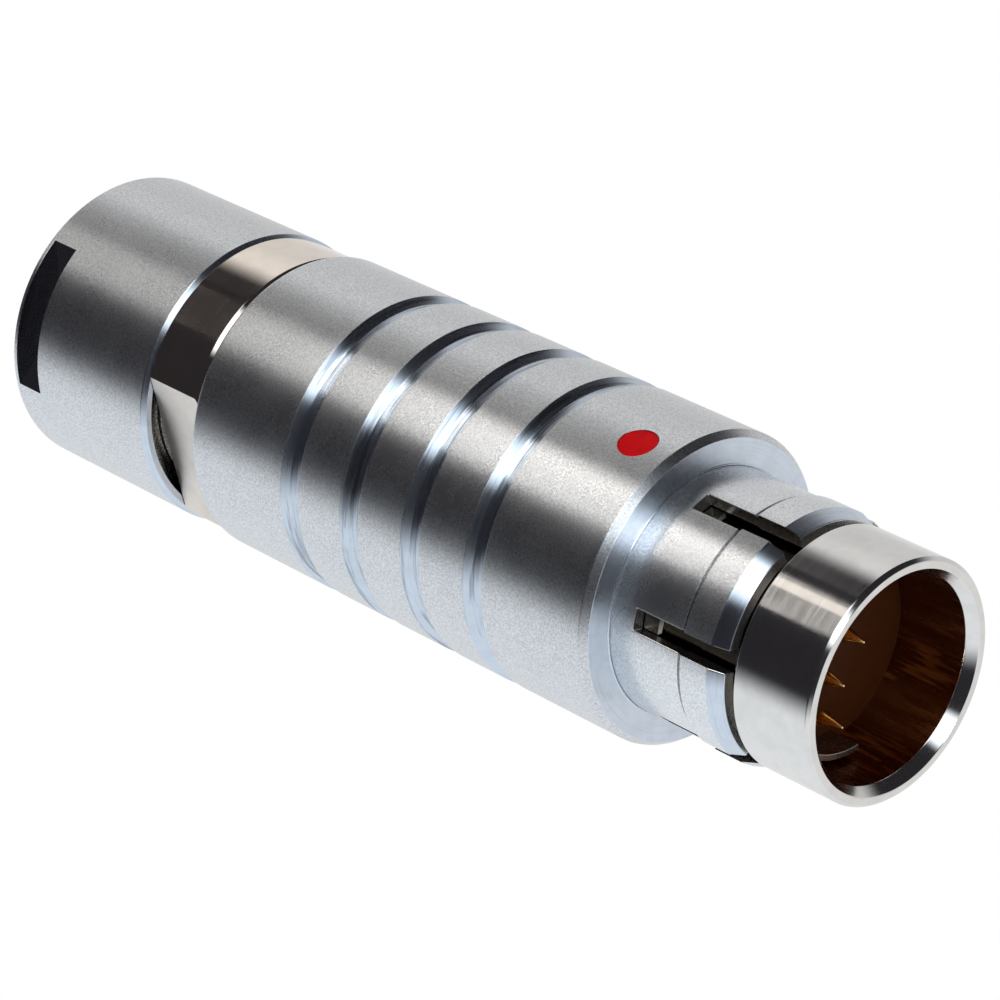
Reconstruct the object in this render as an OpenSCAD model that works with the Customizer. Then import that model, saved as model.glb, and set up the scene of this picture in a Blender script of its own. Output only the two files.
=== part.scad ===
// Push pull circular connector plug, standing on the rear face of its back nut.
// The connector axis is +Z with the mating end up, all sizes are in millimetres.

/* [Outer shell] */
// Outer diameter of the grip shell
shell_d = 18; // [16:0.1:22]
// Wall of the grip shell
shell_wall = 1.55; // [1.3:0.05:1.75]
// Length of the grip shell
shell_len = 31.85; // [30:0.05:40]
// Width of the shell's front face around the latch sleeve
face_w = 1.9; // [1.7:0.05:2.2]
// Number of grip grooves
groove_count = 4; // [1:1:4]
// Distance from one grip groove to the next
groove_pitch = 4.95; // [3:0.05:5.2]
// Width of a grip groove at the surface
groove_w = 1.5; // [1.2:0.1:2]
// Depth of a grip groove
groove_depth = 0.45; // [0.2:0.05:0.5]
// Distance from the shell's rear face to the first groove
groove_start = 7.7; // [5:0.1:8]
// Diameter of the red index dot
dot_d = 2.25; // [1:0.05:2.6]
// Distance from the shell's front face back to the dot's centre
dot_setback = 2.75; // [2:0.05:3.2]
// Direction of the dot around the axis
dot_angle = -128.3; // [-180:0.1:180]

/* [Latch sleeve] */
// Wall of the latch sleeve
sleeve_wall = 0.75; // [0.6:0.05:1]
// Length of the latch sleeve beyond the shell's front face
latch_reach = 8.15; // [7:0.05:10]
// Number of spring fingers
finger_count = 6; // [4:1:8]
// Width of the slot between two fingers
slot_w = 1.25; // [0.6:0.05:1.6]
// Direction of the first slot around the axis
slot_angle = -126; // [-180:1:180]
// Length of the raised finger heads
head_len = 3; // [2:0.1:3.5]
// Rise of a finger head above the sleeve
head_rise = 0.15; // [0.05:0.05:0.3]

/* [Front shell] */
// Step from the latch sleeve's surface down to the bright front ring's
ring_step = 0.2; // [0.1:0.05:0.4]
// Wall of the front ring
ring_wall = 1.08; // [0.95:0.01:1.3]
// Length of the bright front ring
ring_len = 5.3; // [5.2:0.1:7]
// Open gap between the finger fronts and the front ring
ring_gap = 0.5; // [0.3:0.05:1]
// Depth of the socket below the rim
socket_depth = 5.1; // [4.8:0.1:5.1]
// Wall of the front shell under the latch sleeve
guide_wall = 1.4; // [1.2:0.05:1.6]

/* [Inner body] */
// Step from the grip shell's surface down to the polished collar's
collar_step = 0.25; // [0:0.05:0.5]
// Length of the polished collar
collar_len = 4.35; // [3:0.05:6]
// Depth of the collar's two wrench flats
flat_depth = 1.4; // [0.3:0.05:1.45]
// Direction of the first wrench flat around the axis
flat_angle = -40; // [-180:1:180]
// Wall of the threaded part behind the collar
clamp_wall = 1.25; // [1:0.05:1.6]
// Wall of the rubber cable seal, which sets the size of the cable hole
seal_wall = 1.7; // [1.3:0.05:3]

/* [Back nut] */
// Step from the grip shell's surface down to the back nut's
nut_step = 0.1; // [0:0.05:0.3]
// Wall of the back nut around its thread
nut_wall = 1.6; // [1.4:0.05:1.8]
// Length of the back nut
nut_len = 12.4; // [11.5:0.1:14]
// Thickness of the back nut's end around the cable hole
nut_end = 3.05; // [2.8:0.05:3.5]
// Depth of the two spanner recesses
recess_depth = 1.2; // [0.5:0.1:1.3]
// Length of a spanner recess along the axis
recess_len = 2; // [1:0.1:2.2]
// Distance from the nut's rear face to a spanner recess
recess_start = 0.55; // [0.3:0.05:0.6]
// Direction of the first spanner recess around the axis
recess_angle = -74.6; // [-180:0.1:180]

/* [Contacts] */
// Diameter of a contact pin
pin_d = 0.9; // [0.5:0.05:1]
// Distance from the insert's edge to a pin's centre
pin_inset = 0.9; // [0.85:0.05:1.6]
// Angle between two neighbouring pins
pin_step = 35.5; // [25:0.5:40]
// Direction of the middle pin around the axis
pin_mid_angle = -71; // [-180:1:180]
// Distance of the pin tips below the rim
pin_setback = 0.4; // [0.2:0.1:2]

/* [Hidden] */
fn = 96;
fn_small = 32;
eps = 0.01;

// Play of a sliding or turning fit, and play between two end faces
run_gap = 0.05;
face_gap = 0.05;
stop_gap = 0.1;

edge = 0.3;
fine_edge = 0.15;

// Radii from the shell inwards, shared by pieces that fit into each other
shell_r = shell_d / 2;
shell_bore_r = shell_r - shell_wall;
spigot_r = shell_bore_r - run_gap;
latch_r = shell_r - face_w;
sleeve_bore_r = latch_r - sleeve_wall;
head_inset = 0.1;
head_bore_r = sleeve_bore_r - head_inset;
lip_inset = 0.1;
lip_r = head_bore_r - lip_inset;
ring_r = latch_r - ring_step;
socket_r = ring_r - ring_wall;
guide_r = sleeve_bore_r - run_gap;
neck_depth = 0.45;
neck_r = guide_r - neck_depth;
tail_step = 0.75;
tail_r = guide_r - tail_step;
core_r = guide_r - guide_wall;
collar_r = shell_r - collar_step;
flat_r = collar_r - flat_depth;
nut_r = shell_r - nut_step;
nut_bore_r = nut_r - nut_wall;
recess_r = nut_r - recess_depth;
thread_r = nut_bore_r - run_gap;
clamp_r = thread_r - clamp_wall;
collet_r = clamp_r - run_gap;
seat_step = 0.4;
seat_r = clamp_r + seat_step;
washer_r = clamp_r + seat_step / 2;
seal_bore_r = clamp_r - seal_wall;
collet_play = 0.2;
collet_bore_r = seal_bore_r + collet_play;
cable_hole_r = seal_bore_r - run_gap;

// Heights along the axis, from the nut's rear face up to the front rim
washer_t = 0.8;
collet_len = 6.1;
spigot_setback = 2.15;
seal_room = 3.55;
tail_setback = 7.1;
key_setback = 10;
guide_setback = 14.1;
ferrule_step = 0.5;
sleeve_root = 3;
sleeve_seat = 6.75;
slot_start = 1.65;
ledge_end = 2.85;
insul_base = 0.6;
insul_len = 7;
insul_rear_len = 7;
cup_len = 4.5;
z_seat = nut_end;
z_washer = z_seat + face_gap;
z_collet = z_washer + washer_t;
z_spigot = z_seat + spigot_setback;
z_cable_seal = z_collet + collet_len;
z_collar = nut_len + face_gap;
z_seal_end = z_collar + seal_room;
z_collar_end = z_collar + collar_len;
z_shell = z_collar_end + stop_gap;
z_tail = z_shell + tail_setback;
z_key = z_shell + key_setback;
z_guide = z_shell + guide_setback;
z_ferrule_end = z_guide + ferrule_step;
z_sleeve = z_guide + sleeve_root;
z_face = z_shell + shell_len;
z_step = z_face - sleeve_seat;
z_slot = z_face + slot_start;
z_ledge_end = z_face + ledge_end;
z_finger = z_face + latch_reach;
z_head = z_finger - head_len;
z_ring = z_finger + ring_gap;
z_rim = z_ring + ring_len;
z_floor = z_rim - socket_depth;
z_shoulder = z_floor - insul_base;
z_insul = z_shoulder - insul_len;
z_insul_rear = z_insul - insul_rear_len;
z_cups = z_insul_rear - cup_len;
z_tip = z_rim - pin_setback;

face_edge_r = 0.35;
face_edge_z = 0.43;
tip_edge_r = 0.3;
tip_edge_z = 1.6;
rim_edge_r = 0.3;
rim_edge_z = 0.75;

leaf_slot = 0.8;
leaf_root = 1.5;
cable_seal_rib = 0.3;
rib_count = 3;

key_d = 1.5;
key_floor = 0.35;
key_rise = 0.6;
key_root = tail_r + key_floor;
key_reach = spigot_r + key_rise;
keyway_w = key_d + 2 * run_gap;
dot_depth = 0.3;
dot_sink = 0.1;
dot_z = z_face - dot_setback;

half_gap = 0.32;
half_wall = 0.4;
half_outer_r = socket_r - half_gap;
half_inner_r = half_outer_r - half_wall;
half_start = -137;
half_height = 2;

seal_depth = 0.65;
seal_floor_r = thread_r - seal_depth;
seal_play = 0.05;
shell_seal_r = (spigot_r - seal_floor_r - seal_play) / 2;
shell_seal_slot = 1.2;
shell_seal_setback = 2.7;
z_shell_seal = z_shell + shell_seal_setback;
nut_seal_r = (thread_r - seal_floor_r - seal_play) / 2;
nut_seal_slot = 0.9;
nut_seal_setback = 1;
z_nut_seal = z_collar - nut_seal_setback;

pin_r = pin_d / 2;
pin_circle_r = core_r - pin_inset;
pin_collar_r = 0.7;
pin_collar_len = 2.5;
cup_r = 0.5;
cup_bore_r = 0.34;
cup_depth = 2.6;
cup_room = 0.5;
cup_wall = 0.3;
cup_wall_r = core_r - cup_wall;
carrier_wall = 1.3;
wire_r = core_r - carrier_wall;
tip_len = 1.35;
tip_r = 0.05;
split_gap = 0.3;

module turned(points) {
  rotate_extrude($fn = fn)
    polygon(points);
}

// A block whose inner face is at radius r in direction a
module side_block(a, r, depth, w, z0, z1) {
  rotate([0, 0, a])
    translate([r, -w / 2, z0])
      cube([depth, w, z1 - z0]);
}

// A rod along the radius in direction a, from radius r0 to r1
module radial_rod(a, d, r0, r1, z) {
  rotate([0, 0, a])
    translate([r0, 0, z])
      rotate([0, 90, 0])
        cylinder(h = r1 - r0, d = d, $fn = fn_small);
}

// Half of the space inside radius r, over the 180 degrees that follow angle a
module half_space(a, r, z0, z1) {
  rotate([0, 0, a])
    translate([-r, 0, z0])
      cube([2 * r, r, z1 - z0]);
}

module on_pin_circle(i) {
  rotate([0, 0, pin_mid_angle + i * pin_step])
    translate([pin_circle_r, 0, 0])
      children();
}

module pin_holes(r, z0, z1) {
  for (i = [-1 : 1])
    on_pin_circle(i)
      translate([0, 0, z0])
        cylinder(h = z1 - z0, r = r, $fn = fn_small);
}

function groove(z) = [
  [shell_r, z],
  [shell_r - groove_depth, z + groove_depth],
  [shell_r - groove_depth, z + groove_w - groove_depth / 2],
  [shell_r, z + groove_w]
];

module outer_shell() {
  grooves = [for (i = [0 : 1 : groove_count - 1])
    for (p = groove(z_shell + groove_start + i * groove_pitch)) p];
  color([0.76, 0.77, 0.78])
    difference() {
      turned(concat(
        [[shell_bore_r, z_shell], [shell_r - fine_edge, z_shell], [shell_r, z_shell + fine_edge]],
        grooves,
        [[shell_r, z_face - face_edge_z], [shell_r - face_edge_r, z_face], [latch_r, z_face],
          [latch_r, z_step], [shell_bore_r, z_step]]
      ));
      side_block(dot_angle + 180, spigot_r - key_d, key_reach + stop_gap - spigot_r + key_d,
        keyway_w, z_shell - eps, z_key + key_d / 2 + stop_gap);
      radial_rod(dot_angle, dot_d, shell_r - dot_depth, shell_r + key_d, dot_z);
    }
}

module index_dot() {
  color([0.75, 0.05, 0.06])
    radial_rod(dot_angle, dot_d, shell_r - dot_depth, shell_r - dot_sink, dot_z);
}

module latch_sleeve() {
  color([0.8, 0.81, 0.82])
    difference() {
      turned([
        [sleeve_bore_r, z_sleeve], [shell_bore_r, z_sleeve], [shell_bore_r, z_step],
        [latch_r, z_step], [latch_r, z_head], [latch_r + head_rise, z_head],
        [latch_r + head_rise, z_finger - tip_edge_z],
        [latch_r + head_rise - tip_edge_r, z_finger], [head_bore_r, z_finger],
        [head_bore_r, z_head], [sleeve_bore_r, z_head - fine_edge]
      ]);
      for (i = [0 : 1 : finger_count - 1])
        side_block(slot_angle + i * 360 / finger_count, core_r, shell_r - core_r,
          slot_w, z_slot, z_finger + eps);
    }
}

module front_shell() {
  color([0.84, 0.82, 0.78])
    turned([
      [core_r, z_tail], [tail_r, z_tail], [tail_r, z_guide], [guide_r, z_guide],
      [guide_r, z_ledge_end - fine_edge], [guide_r - fine_edge, z_ledge_end],
      [neck_r, z_ledge_end], [neck_r, z_shoulder - edge], [lip_r, z_shoulder - fine_edge],
      [lip_r, z_ring], [ring_r - fine_edge, z_ring], [ring_r, z_ring + fine_edge],
      [ring_r, z_rim - fine_edge], [ring_r - fine_edge, z_rim],
      [socket_r + rim_edge_r, z_rim], [socket_r, z_rim - rim_edge_z],
      [socket_r, z_shoulder], [core_r, z_shoulder]
    ]);
}

module key_half_shell() {
  color([0.8, 0.79, 0.76])
    intersection() {
      turned([
        [half_inner_r, z_shoulder], [half_outer_r, z_shoulder],
        [half_outer_r, z_floor + half_height - fine_edge],
        [half_outer_r - fine_edge, z_floor + half_height],
        [half_inner_r, z_floor + half_height]
      ]);
      half_space(half_start, shell_r, z_shoulder - eps, z_rim);
    }
}

module insulator_front() {
  color([0.2, 0.11, 0.06])
    difference() {
      turned([
        [0, z_insul], [core_r, z_insul], [core_r, z_shoulder], [socket_r, z_shoulder],
        [socket_r, z_floor], [0, z_floor]
      ]);
      pin_holes(pin_r, z_insul - eps, z_floor + eps);
      intersection() {
        turned([
          [half_inner_r, z_shoulder], [shell_r, z_shoulder], [shell_r, z_rim],
          [half_inner_r, z_rim]
        ]);
        half_space(half_start, shell_r, z_shoulder, z_rim);
      }
    }
}

module insulator_rear() {
  color([0.2, 0.11, 0.06])
    difference() {
      translate([0, 0, z_insul_rear])
        cylinder(h = z_insul - z_insul_rear, r = core_r, $fn = fn);
      pin_holes(pin_r, z_insul_rear - eps, z_insul);
      pin_holes(pin_collar_r, z_insul - pin_collar_len, z_insul + eps);
    }
}

module contact_pin(i) {
  color([0.85, 0.65, 0.25])
    on_pin_circle(i)
      rotate_extrude($fn = fn_small)
        polygon([
          [cup_bore_r, z_cups], [cup_r, z_cups], [cup_r, z_insul_rear],
          [pin_r, z_insul_rear], [pin_r, z_insul - pin_collar_len],
          [pin_collar_r, z_insul - pin_collar_len], [pin_collar_r, z_insul],
          [pin_r, z_insul], [pin_r, z_tip - tip_len], [tip_r, z_tip], [0, z_tip],
          [0, z_cups + cup_depth], [cup_bore_r, z_cups + cup_depth]
        ]);
}

module contact_pin_1() {
  contact_pin(-1);
}

module contact_pin_2() {
  contact_pin(0);
}

module contact_pin_3() {
  contact_pin(1);
}

// One half of the split carrier, on the side that follows angle a
module carrier_half(a) {
  color([0.83, 0.81, 0.77])
    intersection() {
      turned([
        [wire_r, z_ferrule_end], [core_r, z_ferrule_end], [core_r, z_insul_rear],
        [cup_wall_r, z_insul_rear], [cup_wall_r, z_cups - cup_room],
        [wire_r, z_cups - cup_room]
      ]);
      rotate([0, 0, a])
        translate([0, split_gap / 2, 0])
          half_space(0, shell_r, 0, z_rim);
    }
}

module carrier_half_a() {
  carrier_half(0);
}

module carrier_half_b() {
  carrier_half(180);
}

module shield_ferrule() {
  color([0.8, 0.79, 0.76])
    turned([
      [core_r - edge, z_tail], [core_r, z_tail + edge], [core_r, z_ferrule_end],
      [wire_r, z_ferrule_end], [wire_r, z_tail + core_r - wire_r]
    ]);
}

module inner_body() {
  color([0.84, 0.82, 0.78])
    difference() {
      turned([
        [clamp_r, z_spigot], [clamp_r, z_seal_end], [core_r, z_seal_end], [core_r, z_tail],
        [tail_r, z_tail], [tail_r, z_guide], [spigot_r, z_guide],
        [spigot_r, z_shell_seal + shell_seal_slot / 2],
        [seal_floor_r, z_shell_seal + shell_seal_slot / 2],
        [seal_floor_r, z_shell_seal - shell_seal_slot / 2],
        [spigot_r, z_shell_seal - shell_seal_slot / 2],
        [spigot_r, z_collar_end], [collar_r - edge, z_collar_end],
        [collar_r, z_collar_end - edge], [collar_r, z_collar], [thread_r, z_collar],
        [thread_r, z_nut_seal + nut_seal_slot / 2], [seal_floor_r, z_nut_seal + nut_seal_slot / 2],
        [seal_floor_r, z_nut_seal - nut_seal_slot / 2], [thread_r, z_nut_seal - nut_seal_slot / 2],
        [thread_r, z_spigot]
      ]);
      for (a = [flat_angle, flat_angle + 180])
        side_block(a, flat_r, shell_d, 2 * shell_d, z_collar - eps, z_collar_end + eps);
      radial_rod(dot_angle + 180, key_d, key_root, shell_r, z_key);
    }
}

module guide_key() {
  color([0.6, 0.61, 0.62])
    radial_rod(dot_angle + 180, key_d, key_root, key_reach, z_key);
}

module shell_seal() {
  color([0.08, 0.08, 0.08])
    translate([0, 0, z_shell_seal])
      rotate_extrude($fn = fn)
        translate([seal_floor_r + shell_seal_r, 0])
          circle(r = shell_seal_r, $fn = fn_small);
}

module nut_seal() {
  color([0.08, 0.08, 0.08])
    translate([0, 0, z_nut_seal])
      rotate_extrude($fn = fn)
        translate([seal_floor_r + nut_seal_r, 0])
          circle(r = nut_seal_r, $fn = fn_small);
}

module cable_seal() {
  rib_step = (z_seal_end - z_cable_seal) / (2 * rib_count + 1);
  ribs = [for (i = [1 : 2 * rib_count])
    [seal_bore_r + (i % 2 == 1 ? 0 : cable_seal_rib), z_seal_end - i * rib_step]];
  color([0.1, 0.1, 0.1])
    turned(concat(
      [[seal_bore_r + cable_seal_rib, z_cable_seal], [clamp_r, z_cable_seal],
        [clamp_r, z_seal_end], [seal_bore_r + cable_seal_rib, z_seal_end]],
      ribs
    ));
}

module collet() {
  color([0.7, 0.7, 0.7])
    difference() {
      turned([
        [collet_bore_r, z_collet], [collet_r - edge, z_collet], [collet_r, z_collet + edge],
        [collet_r, z_cable_seal], [collet_bore_r, z_cable_seal]
      ]);
      for (a = [0, 90])
        side_block(a, -shell_r, shell_d, leaf_slot, z_collet - eps, z_cable_seal - leaf_root);
    }
}

module clamp_washer() {
  color([0.72, 0.72, 0.7])
    turned([
      [collet_bore_r, z_washer], [washer_r, z_washer], [washer_r, z_collet],
      [collet_bore_r, z_collet]
    ]);
}

module back_nut() {
  color([0.78, 0.79, 0.8])
    difference() {
      turned([
        [cable_hole_r + edge, 0], [nut_r - edge, 0], [nut_r, edge],
        [nut_r, nut_len - face_edge_r], [nut_r - face_edge_r, nut_len],
        [nut_bore_r, nut_len], [nut_bore_r, z_spigot - stop_gap],
        [seat_r, z_spigot - stop_gap], [seat_r, z_seat], [cable_hole_r, z_seat],
        [cable_hole_r, edge]
      ]);
      for (a = [recess_angle, recess_angle + 180])
        side_block(a, recess_r, shell_d, 2 * shell_d, recess_start, recess_start + recess_len);
    }
}

outer_shell();
index_dot();
latch_sleeve();
front_shell();
key_half_shell();
insulator_front();
insulator_rear();
contact_pin_1();
contact_pin_2();
contact_pin_3();
carrier_half_a();
carrier_half_b();
shield_ferrule();
inner_body();
guide_key();
shell_seal();
nut_seal();
cable_seal();
collet();
clamp_washer();
back_nut();
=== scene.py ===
"""Looks of the push pull circular connector: satin chrome, bright nickel, gold and brown plastic."""
import math

import bmesh
import bpy
import numpy as np
from mathutils import Matrix, Vector


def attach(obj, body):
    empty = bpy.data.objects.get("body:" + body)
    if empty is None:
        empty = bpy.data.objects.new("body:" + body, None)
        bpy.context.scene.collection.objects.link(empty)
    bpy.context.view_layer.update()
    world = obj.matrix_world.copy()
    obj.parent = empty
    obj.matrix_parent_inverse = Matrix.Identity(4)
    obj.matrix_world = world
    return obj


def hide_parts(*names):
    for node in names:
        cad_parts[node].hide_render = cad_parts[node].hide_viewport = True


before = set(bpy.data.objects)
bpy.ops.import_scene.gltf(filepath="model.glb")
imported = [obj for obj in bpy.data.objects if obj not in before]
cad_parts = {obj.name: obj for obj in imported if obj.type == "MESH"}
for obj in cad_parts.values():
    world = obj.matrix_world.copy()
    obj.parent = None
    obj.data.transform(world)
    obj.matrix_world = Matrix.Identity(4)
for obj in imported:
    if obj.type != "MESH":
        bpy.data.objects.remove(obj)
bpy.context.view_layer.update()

MM = 0.001

# ---------------------------------------------------------------- camera
CAMERA_AT = (0, -0.17956, 0.18562)
CAMERA_RIGHT = Vector((-0.42962571, 0.58495995, 0.68792704))
CAMERA_UP = Vector((-0.90300614, -0.2772216, -0.32821958))
CAMERA_BACK = Vector((-0.00128707, -0.76221391, 0.64732395))

camera = bpy.data.objects.new("camera", bpy.data.cameras.new("camera"))
bpy.context.scene.collection.objects.link(camera)
bpy.context.scene.camera = camera
camera.data.sensor_width = 36
camera.data.lens = 151.98
camera.data.clip_start, camera.data.clip_end = 0.01, 20
camera_axes = Matrix((CAMERA_RIGHT, CAMERA_UP, CAMERA_BACK)).transposed().to_4x4()
camera.matrix_world = Matrix.Translation(CAMERA_AT) @ camera_axes

# ---------------------------------------------------------------- sizes as in the part, in mm and degrees
SHELL_R, COLLAR_R, NUT_R, RING_R, LATCH_R = 9.0, 8.75, 8.9, 6.9, 7.1
SHELL_BORE, SLEEVE_BORE, HEAD_BORE, GUIDE_R = 7.45, 6.35, 6.25, 6.3
SPIGOT_R, THREAD_R, TAIL_R, CORE_R, CLAMP_R = 7.4, 7.25, 5.55, 4.9, 6.0
NECK_R, LIP_R, SOCKET_R, HALF_OUTER_R, HALF_INNER_R = 5.85, 6.15, 5.82, 5.5, 5.1
NUT_BORE, SEAT_R, CABLE_HOLE_R, SEAL_FLOOR_R = 7.3, 6.4, 4.25, 6.6
Z_SEAT, Z_NUT_BORE, Z_SPIGOT, Z_SEAL_END = 3.05, 5.1, 5.2, 16.0
Z_NUT_SEAL, Z_SHELL_SEAL = (11.0, 11.9), (19.0, 20.2)
Z_NUT, Z_COLLAR, Z_COLLAR_END, Z_SHELL, Z_FACE = 12.4, 12.45, 16.8, 16.9, 48.75
Z_TAIL, Z_GUIDE, Z_SLEEVE, Z_STEP = 24.0, 31.0, 34.0, 42.0
Z_SLOT, Z_LEDGE, Z_HEAD, Z_FINGER, Z_SHOULDER = 50.4, 51.6, 53.9, 56.9, 57.0
Z_RING, Z_FLOOR, Z_TIP, Z_RIM = 57.4, 57.6, 62.3, 62.7
Z_INSUL, Z_INSUL_REAR, Z_CUPS = 50.0, 43.0, 38.5
GROOVE_COUNT, GROOVE_FIRST, GROOVE_PITCH, GROOVE_W, GROOVE_DEEP = 4, 24.6, 4.95, 1.5, 0.45
DOT_ANGLE, DOT_Z, DOT_R, DOT_DEEP = -128.3, 46.0, 1.125, 0.3
KEY_ROOT, KEY_HOLE_R, Z_KEY = 5.9, 0.76, 26.9
KEYWAY_R, KEYWAY_W, KEYWAY_END = 8.1, 1.6, 27.75
FINGER_COUNT, SLOT_ANGLE, SLOT_W, HEAD_RISE = 6, -126, 1.25, 0.15
FLAT_ANGLE, FLAT_R = -40, 7.35
RECESS_ANGLE, RECESS_R, RECESS_Z0, RECESS_Z1 = -74.6, 7.7, 0.55, 2.55
HALF_ARC, HALF_HEIGHT = (-137, 43), 2
PIN_ANGLES, PIN_CIRCLE = (-106.5, -71.0, -35.5), 4.0
PIN_R, PIN_COLLAR_R, PIN_COLLAR_LEN, TIP_R, TIP_LEN = 0.45, 0.7, 2.5, 0.05, 1.35
CUP_R, CUP_BORE, CUP_DEEP = 0.5, 0.34, 2.6
NUT_TRAVEL = 6.0

# ---------------------------------------------------------------- finer sizes that only this script has
FACE_EDGE_R, FACE_EDGE_Z = 0.35, 0.43
HEAD_GROOVE, CONE_LEN, CONE_DROP = 0.07, 1.0, 0.18
MOUTH_R, MOUTH_DEEP = 6.3, 0.6
COLLAR_EDGE, NUT_EDGE, NUT_REAR_EDGE = 0.4, 0.27, 0.3
COUNTERBORE_R, COUNTERBORE_FOOT_R, COUNTERBORE_DEEP = 8.25, 8.15, 0.6
DOT_PLAY, DOT_SINK, DOT_HOLLOW, DOT_BRIM = 0.01, 0.05, 0.012, 0.01
THREAD_PITCH, THREAD_DEEP, THREAD_STEPS = 0.5, 0.14, 8
BEYOND = 20  # the reach of a cutter that leaves the piece on every side


# ---------------------------------------------------------------- mesh tools
def filleted(points, steps=5):
    """A closed outline of (r, z, fillet) as a dense list of (r, z)."""
    out = []
    for i, (r, z, radius) in enumerate(points):
        here = Vector((r, z))
        if radius <= 0:
            out.append(tuple(here))
            continue
        a = Vector(points[i - 1][:2]) - here
        b = Vector(points[(i + 1) % len(points)][:2]) - here
        half = a.angle(b) / 2
        reach = min(radius / math.tan(half), 0.45 * a.length, 0.45 * b.length)
        if reach < 1e-4 or half > math.radians(89):
            out.append(tuple(here))
            continue
        start, end = here + a.normalized() * reach, here + b.normalized() * reach
        for k in range(steps + 1):
            t = k / steps
            out.append(tuple(start * (1 - t) ** 2 + here * 2 * t * (1 - t) + end * t * t))
    return out


def made(name, bm):
    """An object with the mesh bm, smooth, in the scene."""
    mesh = bpy.data.meshes.new(name)
    bm.to_mesh(mesh)
    bm.free()
    for p in mesh.polygons:
        p.use_smooth = True
    obj = bpy.data.objects.new(name, mesh)
    bpy.context.scene.collection.objects.link(obj)
    return obj


def lathe(name, points, segments=360, arc=None):
    """A closed ring mesh turned about Z. arc = (first, last) angle for a part turn with end faces."""
    outline = filleted(points)
    bm = bmesh.new()
    count = segments if arc is None else segments + 1
    first, span = (0, 360) if arc is None else (arc[0], arc[1] - arc[0])
    rings = []
    for i in range(count):
        a = math.radians(first + span * i / segments)
        across, along = math.cos(a), math.sin(a)
        rings.append([bm.verts.new((r * MM * across, r * MM * along, z * MM)) for r, z in outline])
    for i in range(segments):
        a, b = rings[i], rings[(i + 1) % count]
        for k in range(len(outline)):
            j = (k + 1) % len(outline)
            bm.faces.new((a[k], b[k], b[j], a[j]))
    if arc is not None:
        bm.faces.new(rings[0])
        bm.faces.new(rings[-1])
    bmesh.ops.remove_doubles(bm, verts=bm.verts, dist=1e-8)
    bmesh.ops.recalc_face_normals(bm, faces=bm.faces)
    return made(name, bm)


def box_at(angle, r0, r1, width, z0, z1):
    """A cutter block along the radius in direction angle."""
    bm = bmesh.new()
    bmesh.ops.create_cube(bm, size=1)
    scale = Matrix.Diagonal(((r1 - r0) * MM, width * MM, (z1 - z0) * MM, 1))
    place = Matrix.Translation(((r0 + r1) / 2 * MM, 0, (z0 + z1) / 2 * MM))
    bm.transform(Matrix.Rotation(math.radians(angle), 4, "Z") @ place @ scale)
    return made("cutter", bm)


def rod_at(angle, r, r0, r1, z, segments=96):
    """A cutter cylinder along the radius in direction angle."""
    bm = bmesh.new()
    bmesh.ops.create_cone(
        bm, segments=segments, radius1=r * MM, radius2=r * MM, depth=(r1 - r0) * MM, cap_ends=True)
    place = Matrix.Translation(((r0 + r1) / 2 * MM, 0, z * MM)) @ Matrix.Rotation(math.pi / 2, 4, "Y")
    bm.transform(Matrix.Rotation(math.radians(angle), 4, "Z") @ place)
    return made("cutter", bm)


def apply_modifiers(obj):
    """Puts the result of obj's modifiers in the place of its mesh."""
    graph = bpy.context.evaluated_depsgraph_get()
    mesh = bpy.data.meshes.new_from_object(obj.evaluated_get(graph))
    obj.modifiers.clear()
    old = obj.data
    obj.data = mesh
    bpy.data.meshes.remove(old)
    mesh.name = obj.name


def cut(obj, cutters):
    """Takes the cutters out of obj and deletes them."""
    for c in cutters:
        m = obj.modifiers.new("cut", "BOOLEAN")
        m.operation, m.solver, m.object = "DIFFERENCE", "EXACT", c
    bpy.context.view_layer.update()
    apply_modifiers(obj)
    for c in cutters:
        bpy.data.meshes.remove(c.data)


def read(items, name, width=1, kind=float):
    """One attribute of all the vertices, corners or faces of a mesh, as an array."""
    values = np.empty(len(items) * width, kind)
    items.foreach_get(name, values)
    return values.reshape(-1, width) if width > 1 else values


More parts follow.
